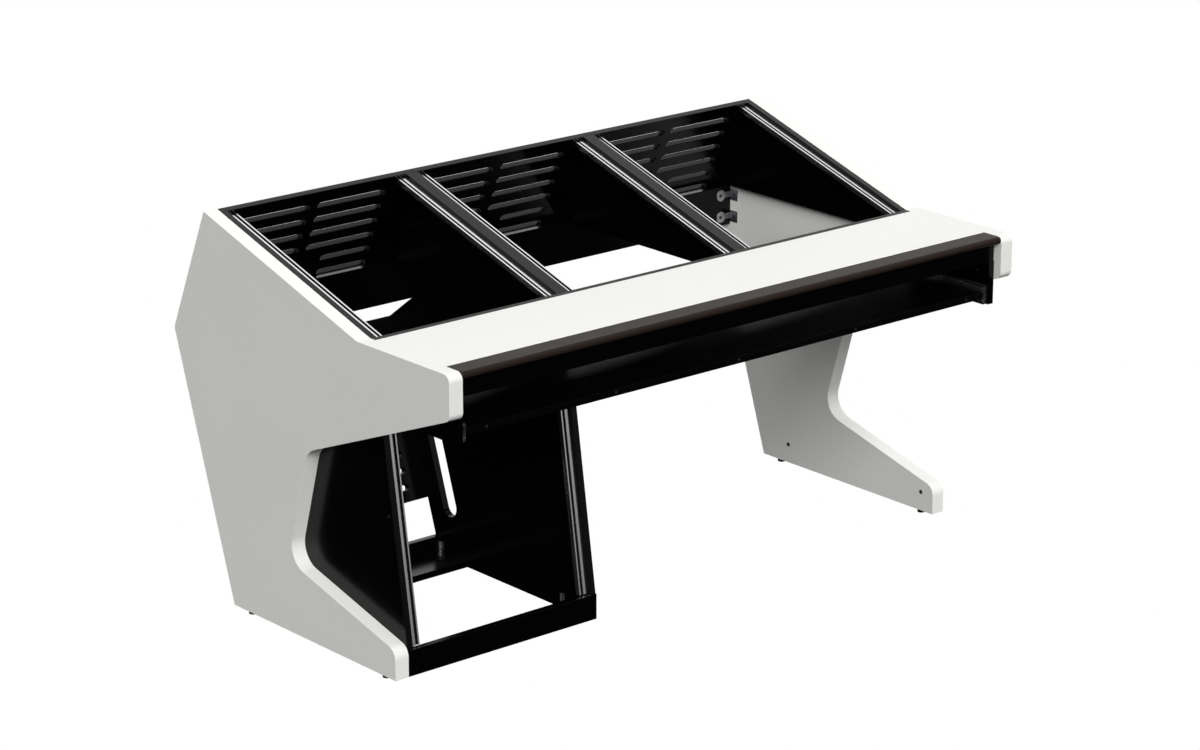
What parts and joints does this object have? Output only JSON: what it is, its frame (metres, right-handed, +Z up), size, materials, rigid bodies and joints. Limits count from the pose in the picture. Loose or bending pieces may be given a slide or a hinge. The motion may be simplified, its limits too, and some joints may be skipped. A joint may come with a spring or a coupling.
{
  "type": "studio desk",
  "caption": "Studio desk with shaped white side panels, sloping 19 inch rack bays, an upright rack bay, padded armrest, desk top and a sliding keyboard tray.",
  "frame": {"origin": "on the floor under the middle of the desk, halfway across and halfway from front to back", "axes": "+Z up, +X to the right seen from the player, +Y towards the back"},
  "size_m": [1.662, 0.9968, 0.9166],
  "materials": {
    "white_board": "satin white laminate on particle board",
    "black_board": "satin black laminate on particle board",
    "armrest_cover": "soft grained faux leather over foam",
    "aluminium": "natural anodised extrusion",
    "zinc_steel": "bright zinc plate",
    "black_steel": "black oxide",
    "slide_steel": "dark zinc",
    "foot_plastic": "moulded, matt"
  },
  "bodies": {
    "frame": {"left_side_panel": "white_board", "right_side_panel": "white_board", "left_outer_wall": "black_board", "inner_rack_wall": "black_board", "bay_2_left_wall": "black_board", "bay_2_right_wall": "black_board", "bay_3_left_wall": "black_board", "bay_3_right_wall": "black_board", "upper_back_panel": "black_board", "lower_back_panel": "black_board", "modesty_panel": "black_board", "modesty_brackets": "zinc_steel", "bracket_screws": "black_steel", "rack_front_board": "black_board", "desk_top": "white_board", "sub_top": "black_board", "armrest": "armrest_cover", "apron": "black_board", "left_tray_hanger": "black_board", "right_tray_hanger": "black_board", "hanger_screws": "black_steel", "left_slide_outer": "slide_steel", "right_slide_outer": "slide_steel", "front_plinth": "black_board", "base_board": "black_board", "base_rail": "black_board", "wall_cleats": "zinc_steel", "bay_1_left_rail": "aluminium", "bay_1_right_rail": "aluminium", "bay_2_left_rail": "aluminium", "bay_2_right_rail": "aluminium", "bay_3_left_rail": "aluminium", "bay_3_right_rail": "aluminium", "lower_left_rail": "aluminium", "lower_right_rail": "aluminium", "bay_1_strips": "zinc_steel", "bay_2_strips": "zinc_steel", "bay_3_strips": "zinc_steel", "lower_strips": "zinc_steel", "rail_bolts": "black_steel", "back_panel_screws": "black_steel", "panel_bolts": "black_steel", "foot_inserts": "zinc_steel"},
    "tray": {"keyboard_tray": "black_board", "tray_screws": "black_steel", "left_slide_inner": "zinc_steel", "right_slide_inner": "zinc_steel"},
    "left_middle": {"left_slide_middle": "zinc_steel"},
    "right_middle": {"right_slide_middle": "zinc_steel"},
    "left_outer_cage": {"left_outer_balls": "zinc_steel"},
    "right_outer_cage": {"right_outer_balls": "zinc_steel"},
    "left_inner_cage": {"left_inner_balls": "zinc_steel"},
    "right_inner_cage": {"right_inner_balls": "zinc_steel"},
    "front_left_foot": {"front_left_foot": "foot_plastic"},
    "rear_left_foot": {"rear_left_foot": "foot_plastic"},
    "front_right_foot": {"front_right_foot": "foot_plastic"},
    "rear_right_foot": {"rear_right_foot": "foot_plastic"}
  },
  "joints": [
    {"name": "tray_slide", "type": "slide", "parent": "frame", "child": "tray", "axis": [0, -1, 0], "range_m": [0, 0.25]},
    {"name": "left_middle_slide", "type": "slide", "parent": "frame", "child": "left_middle", "axis": [0, -1, 0], "range_m": [0, 0.125]},
    {"name": "left_outer_cage_slide", "type": "slide", "parent": "frame", "child": "left_outer_cage", "axis": [0, -1, 0], "range_m": [0, 0.0625]},
    {"name": "left_inner_cage_slide", "type": "slide", "parent": "frame", "child": "left_inner_cage", "axis": [0, -1, 0], "range_m": [0, 0.1875]},
    {"name": "right_middle_slide", "type": "slide", "parent": "frame", "child": "right_middle", "axis": [0, -1, 0], "range_m": [0, 0.125]},
    {"name": "right_outer_cage_slide", "type": "slide", "parent": "frame", "child": "right_outer_cage", "axis": [0, -1, 0], "range_m": [0, 0.0625]},
    {"name": "right_inner_cage_slide", "type": "slide", "parent": "frame", "child": "right_inner_cage", "axis": [0, -1, 0], "range_m": [0, 0.1875]},
    {"name": "front_left_foot_height", "type": "slide", "parent": "frame", "child": "front_left_foot", "axis": [0, 0, -1], "range_m": [0, 0.012]},
    {"name": "rear_left_foot_height", "type": "slide", "parent": "frame", "child": "rear_left_foot", "axis": [0, 0, -1], "range_m": [0, 0.012]},
    {"name": "front_right_foot_height", "type": "slide", "parent": "frame", "child": "front_right_foot", "axis": [0, 0, -1], "range_m": [0, 0.012]},
    {"name": "rear_right_foot_height", "type": "slide", "parent": "frame", "child": "rear_right_foot", "axis": [0, 0, -1], "range_m": [0, 0.012]}
  ],
  "couplings": [
    {"joint": "left_middle_slide", "follows": "tray_slide", "ratio": 0.5},
    {"joint": "left_outer_cage_slide", "follows": "tray_slide", "ratio": 0.25},
    {"joint": "left_inner_cage_slide", "follows": "tray_slide", "ratio": 0.75},
    {"joint": "right_middle_slide", "follows": "tray_slide", "ratio": 0.5},
    {"joint": "right_outer_cage_slide", "follows": "tray_slide", "ratio": 0.25},
    {"joint": "right_inner_cage_slide", "follows": "tray_slide", "ratio": 0.75}
  ]
}
